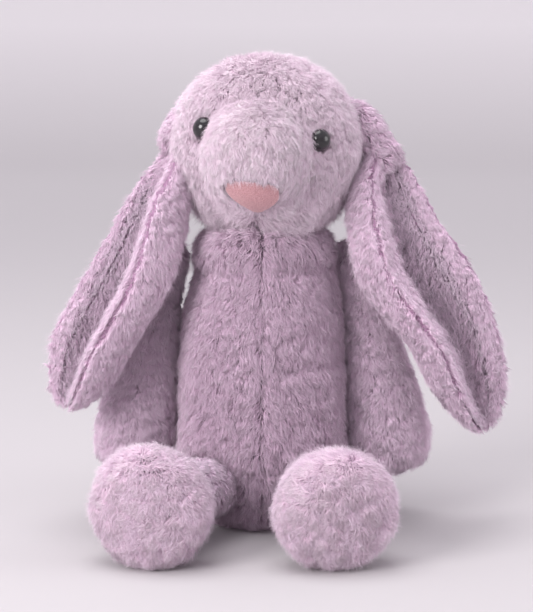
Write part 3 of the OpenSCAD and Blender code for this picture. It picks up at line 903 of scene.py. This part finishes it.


# The soft root of each ear: cloth and pile on a curved tube between the head and the ear
for side, sign in SIDES.items():
    pivot = joint_pivot(f"ear_{side}_lift")
    co = ear_skins[side].co
    band = np.abs(co[:, 2] - (pivot[2] - 17 * MM)) < 4 * MM
    below = co[band].mean(axis=0)
    inward = unit(HEAD + np.array([0, 0, 12 * MM]) - pivot)
    elbow = pivot - np.array([sign * EAR_IN[side]["top"] * 0.75 * MM, 0, 0])
    path = [elbow + inward * 14 * MM, elbow + inward * 2 * MM, (elbow + below) / 2, below]
    root = loft(f"ear_{side}_root", path, [7.5 * MM, 7 * MM, 6.5 * MM, 6 * MM])
    wear(root, BACKING)
    co, tri = arrays(root.data)
    skin = Skin(root, co, tri, vertex_normals(co, tri), np.ones(len(co)))
    start, end = pivot + inward * 6 * MM, pivot + (below - pivot) * 0.6
    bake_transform(root)

    def root_way(p, n, along=unit(below - pivot - inward * 8 * MM)):
        return np.tile(along, (len(p), 1)), np.ones(len(p))

    rng = np.random.default_rng(4900 + sign)
    p, n, room = scatter(skin, int(7000 * DENSITY), everywhere, rng)
    style = EAR_STYLE.but(length=8)
    strand = strands(p, n, room, root_way, style, rng, 49)
    wide = style.width / math.sqrt(DENSITY) * (0.75 + 0.5 * rng.random(len(p)))
    pile = link_mesh(f"ear_{side}_root_pile", lock_mesh(f"ear_{side}_root_pile", *strand[:4], wide, strand[4]))
    wear(pile, PILE["ear"])
    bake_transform(pile)


# ---------------------------------------------------------------- arms

def arm_fold(p, n):
    return 1.0 * MM * noise(p, 24 * MM, 8)


for side, sign in SIDES.items():
    nodes = [f"arm_{side}_outer", f"arm_{side}_inner", f"arm_{side}_stuffing"]
    skin = make_skin(f"arm_{side}_cover", f"arm_{side}", nodes, voxel=1.8, fold=arm_fold,
                     touch=[f"torso_front_{side}", f"torso_back_{side}"])

    def outer(p, n, sign=sign):
        return (n[:, 0] * sign > 0) + 1e-9

    def inner(p, n, sign=sign):
        return (n[:, 0] * sign <= 0) + 1e-9

    seed = 5000 + 500 * (sign > 0)
    arm = f"arm_{side}"
    grow(f"{arm}_outer_pile", skin, arm, "body", 18000, outer, downwards, BODY, seed)
    grow(f"{arm}_inner_pile", skin, arm, "body", 14000, inner, downwards, BODY, seed + 100)
    fibres(f"{arm}_fibres", skin, arm, "body", 40000, everywhere, downwards, BODY, seed + 200)


# ---------------------------------------------------------------- legs and feet

def foot_fold(p, n):
    """Soft lumps all over, and crooked wrinkles on the side that faces forward."""
    wrinkles = 1 - np.abs(noise(p, 11 * MM, 19)) * 4
    return (1.2 * noise(p, 18 * MM, 9) + 1.5 * np.maximum(wrinkles, 0) * ease(-n[:, 1], 0.1, 0.6)) * MM


FOOT_STYLE = Style(length=7.5, tuft=5.0, pull=0.6, stray=22, tuft_turn=50, curl=0.10, rise=60, lie=20)
for side, sign in SIDES.items():
    leg, foot = f"leg_{side}", f"foot_{side}"
    skin = make_skin(f"{leg}_skin", leg, [f"{leg}_cover", f"{leg}_stuffing"], voxel=1.8)
    seed = 6000 + 500 * (sign > 0)
    grow(f"{leg}_pile", skin, leg, "body", 12000, everywhere, downwards, BODY, seed)
    nodes = [f"{foot}_upper", f"{foot}_sole", f"{foot}_stuffing"]
    skin = make_skin(f"{foot}_skin", foot, nodes, voxel=1.8, rounds=10, fold=foot_fold)
    low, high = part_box(f"{foot}_sole")
    heart = np.array((low + high) / 2)

    def foot_way(p, n, heart=heart):
        flow = 0.35 * unit(p - heart)
        flow[:, 2] -= 0.8
        flow[:, 0] += 0.5 * noise(p, 18 * MM, 61)
        return flow, np.ones(len(p))

    def sole(p, n, y=high.y):
        return (p[:, 1] < y - 1 * MM) + 1e-9

    def upper(p, n, y=high.y):
        return (p[:, 1] >= y - 1 * MM) + 1e-9

    grow(f"{foot}_sole_pile", skin, foot, "foot", 15000, sole, foot_way, FOOT_STYLE, seed + 100)
    grow(f"{foot}_upper_pile", skin, foot, "foot", 19000, upper, foot_way, FOOT_STYLE, seed + 200)
    fibres(f"{foot}_fibres", skin, foot, "body", 30000, everywhere, foot_way, FOOT_STYLE, seed + 300)


# ---------------------------------------------------------------- tail

tail_skin = make_skin("tail_skin", "tail", ["tail_cover", "tail_stuffing"], voxel=1.8)
TAIL_STYLE = BODY.but(length=9, rise=70, lie=35)
grow("tail_pile", tail_skin, "tail", "head", 14000, everywhere, downwards, TAIL_STYLE, 7000)
fibres("tail_fibres", tail_skin, "tail", "head", 15000, everywhere, downwards, TAIL_STYLE, 7100)


# ---------------------------------------------------------------- eyes and nose

def lathe(name, profile, base, out, steps=48):
    """Solid turned about the line from base along out. The profile lists height and radius."""
    out = Vector(out).normalized()
    side = out.orthogonal().normalized()
    up = out.cross(side)
    bm = bmesh.new()
    rings = []
    for h, r in profile:
        if r < 1e-7:
            rings.append([bm.verts.new(Vector(base) + out * h)])
            continue
        ring = []
        for i in range(steps):
            a = 2 * math.pi * i / steps
            ring.append(bm.verts.new(Vector(base) + out * h + (side * math.cos(a) + up * math.sin(a)) * r))
        rings.append(ring)
    for a, b in zip(rings, rings[1:]):
        for i in range(steps):
            j = (i + 1) % steps
            if len(a) == 1:
                bm.faces.new((a[0], b[i], b[j]))
            elif len(b) == 1:
                bm.faces.new((a[i], a[j], b[0]))
            else:
                bm.faces.new((a[i], a[j], b[j], b[i]))
    bmesh.ops.recalc_face_normals(bm, faces=bm.faces)
    mesh = bpy.data.meshes.new(name)
    bm.to_mesh(mesh)
    bm.free()
    mesh.polygons.foreach_set("use_smooth", np.ones(len(mesh.polygons), bool))
    return link_mesh(name, mesh)


def gloss_eye():
    m, nodes, links, shader = material("eye_black")
    grain = nodes.new("ShaderNodeTexNoise")
    grain.inputs["Scale"].default_value = 900
    tone = ramp(nodes, [(0.3, (0.006, 0.005, 0.007, 1)), (0.8, (0.016, 0.013, 0.016, 1))])
    links.new(grain.outputs["Fac"], tone.inputs["Fac"])
    links.new(tone.outputs["Color"], shader.inputs["Base Color"])
    shader.inputs["Roughness"].default_value = 0.16
    shader.inputs["Coat Weight"].default_value = 0.3
    shader.inputs["Coat Roughness"].default_value = 0.08
    return m


EYE_BLACK = gloss_eye()
for side in SIDES:
    base, out = EYES[side]
    co, _ = arrays(frame["nodes"][f"eye_{side}"].data)
    along = (co - base) @ out
    radial = np.linalg.norm(co - base - along[:, None] * out, axis=1)
    r = radial.max()
    front = along.max()
    rim = along[radial > 0.98 * r].min()
    quarter_turn = [math.radians(q) for q in range(0, 90, 9)]
    dome = [(rim + (front - rim) * math.sin(a), r * math.cos(a)) for a in quarter_turn]
    post_r = 1.8 * MM
    tail = along.min()
    profile = [(tail, 0), (tail, post_r * 0.7), (tail + 1 * MM, post_r)]
    for i in range(6):
        profile += [(tail + (1.4 + i) * MM, post_r), (tail + (1.7 + i) * MM, post_r * 0.88)]
    profile += [(rim - 0.6 * MM, post_r), (rim - 0.6 * MM, r * 0.82), (rim - 0.25 * MM, r * 0.97)]
    profile += dome + [(front, 0)]
    eye = lathe(f"eye_{side}_dome", profile, base, out)
    wear(eye, EYE_BLACK)
    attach(eye, "head")
    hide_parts(f"eye_{side}")


def suede_material():
    m, nodes, links, shader = material("nose_suede")
    place = nodes.new("ShaderNodeTexCoord")
    fine = nodes.new("ShaderNodeTexNoise")
    fine.inputs["Scale"].default_value = 2200
    fine.inputs["Detail"].default_value = 4
    links.new(place.outputs["Object"], fine.inputs["Vector"])
    tones = [(0.32, (172, 122, 128)), (0.52, (198, 150, 154)), (0.75, (216, 174, 176))]
    tone = ramp(nodes, [(place_on, linear(colour)) for place_on, colour in tones])
    links.new(fine.outputs["Fac"], tone.inputs["Fac"])
    links.new(tone.outputs["Color"], shader.inputs["Base Color"])
    relief = nodes.new("ShaderNodeBump")
    relief.inputs["Strength"].default_value = 0.5
    relief.inputs["Distance"].default_value = 0.25 * MM
    links.new(fine.outputs["Fac"], relief.inputs["Height"])
    links.new(relief.outputs["Normal"], shader.inputs["Normal"])
    shader.inputs["Roughness"].default_value = 0.95
    shader.inputs["Specular IOR Level"].default_value = 0.1
    shader.inputs["Sheen Weight"].default_value = 0.4
    return m


nose = cad_copy("nose_patch", ["nose"])
remesh(nose, 0.55 * MM)
nose_links = neighbours(nose.data)
co, tri = arrays(nose.data)
co = relaxed(co, nose_links, 5, 0.5, 0.5)
co = co + vertex_normals(co, tri) * (0.12 * MM * noise(co, 0.9 * MM, 31))[:, None]
co = co + np.array([0, -1.2 * MM, 0])
nose.data.vertices.foreach_set("co", co.astype(np.float32).ravel())
nose.data.polygons.foreach_set("use_smooth", np.ones(len(nose.data.polygons), bool))
nose.data.update()
wear(nose, suede_material())
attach(nose, "head")
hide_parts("nose")


# ---------------------------------------------------------------- inner pieces

def inner_material(name, pale, dark, scale, rough):
    m, nodes, links, shader = material(name)
    grain = nodes.new("ShaderNodeTexNoise")
    grain.inputs["Scale"].default_value = scale
    tone = ramp(nodes, [(0.3, linear(dark)), (0.7, linear(pale))])
    links.new(grain.outputs["Fac"], tone.inputs["Fac"])
    links.new(tone.outputs["Color"], shader.inputs["Base Color"])
    shader.inputs["Roughness"].default_value = rough
    return m


FILL = inner_material("fibre_fill", (244, 242, 238), (214, 210, 206), 400, 0.95)
COTTON = cloth_material("cotton_bag", (236, 230, 220), (206, 198, 186), 1400, 0.3)
BEADS = inner_material("pellet_mass", (226, 222, 214), (150, 146, 140), 700, 0.5)
WASHER = inner_material("washer_white", (238, 236, 230), (222, 220, 214), 300, 0.45)
for node, mat in (("neck_stump", FILL), ("pellet_bag", COTTON), ("pellets", BEADS),
                  ("eye_washer_left", WASHER), ("eye_washer_right", WASHER)):
    wear(frame["nodes"][node], mat)


# ---------------------------------------------------------------- floor, light and camera

def stage_material():
    m, nodes, links, shader = material("studio_paper")
    place = nodes.new("ShaderNodeTexCoord")
    parts = nodes.new("ShaderNodeSeparateXYZ")
    links.new(place.outputs["Object"], parts.inputs[0])
    # Painted light and shade: the one paper is darker on the floor and paler up the wall
    tone = ramp(nodes, [(0.0, linear((194, 190, 192))), (0.3, linear((228, 224, 226)))])
    links.new(parts.outputs["Z"], tone.inputs["Fac"])
    # The far paper glows a little, as under its own lamp
    span = nodes.new("ShaderNodeVectorMath")
    span.operation = "LENGTH"
    links.new(place.outputs["Object"], span.inputs[0])
    far = nodes.new("ShaderNodeMapRange")
    far.interpolation_type = "SMOOTHSTEP"
    far.inputs["From Min"].default_value = 0.2
    far.inputs["From Max"].default_value = 2.8
    far.inputs["To Min"].default_value = 0.0
    far.inputs["To Max"].default_value = 0.12
    links.new(span.outputs["Value"], far.inputs["Value"])
    shader.inputs["Emission Color"].default_value = (1.0, 0.97, 0.985, 1)
    links.new(far.outputs["Result"], shader.inputs["Emission Strength"])
    links.new(tone.outputs["Color"], shader.inputs["Base Color"])
    shader.inputs["Roughness"].default_value = 0.9
    shader.inputs["Specular IOR Level"].default_value = 0.1
    return m


def backdrop():
    """One sheet: a flat floor that turns up into a wall far from the toy, the same on every side."""
    flat, curve, tall = 3.2, 1.6, 2.2
    rings = [(0.0, 0.0), (flat, 0.0)]
    for q in range(10, 91, 10):
        a = math.radians(q)
        rings.append((flat + curve * math.sin(a), curve * (1 - math.cos(a))))
    rings.append((flat + curve, tall))
    obj = lathe("studio_floor", [(h, r) for r, h in rings], (0, 0, 0), (0, 0, 1), 96)
    obj.data.flip_normals()
    wear(obj, stage_material())


backdrop()


def lamp(name, size, energy, place, aim, colour=(1, 1, 1)):
    light = bpy.data.lights.new(name, "AREA")
    light.shape = "DISK"
    light.size = size
    light.energy = energy
    light.color = colour
    obj = bpy.data.objects.new(name, light)
    scene.collection.objects.link(obj)
    obj.location = place
    obj.rotation_euler = (Vector(aim) - Vector(place)).to_track_quat("-Z", "Y").to_euler()


# The three lamps look at the middle of the toy
BODY_MID = Vector((0, 0, 0.12))
lamp("key", 0.9, 22.5, (-1.05, -1.15, 0.75), BODY_MID, (1.0, 0.985, 0.985))
lamp("fill", 1.0, 6.5, (1.55, -0.35, 0.5), BODY_MID)
lamp("top", 1.2, 12, (-0.25, -0.05, 1.6), BODY_MID)

world = bpy.data.worlds.new("studio")
scene.world = world
world.use_nodes = True
sky = world.node_tree.nodes["Background"]
sky.inputs["Color"].default_value = linear((236, 232, 240))
sky.inputs["Strength"].default_value = 0.95

camera = bpy.data.cameras.new("photo_view")
camera.sensor_fit = "VERTICAL"
camera.sensor_height = 36
camera.lens = 117
photo_view = bpy.data.objects.new("photo_view", camera)
scene.collection.objects.link(photo_view)
aim = Vector((2.4 * MM, 0, 113.7 * MM))
tilt = math.radians(7.5)
photo_view.location = aim + Vector((0, -math.cos(tilt), math.sin(tilt))) * 1.05
photo_view.rotation_euler = (aim - photo_view.location).to_track_quat("-Z", "Y").to_euler()
scene.camera = photo_view
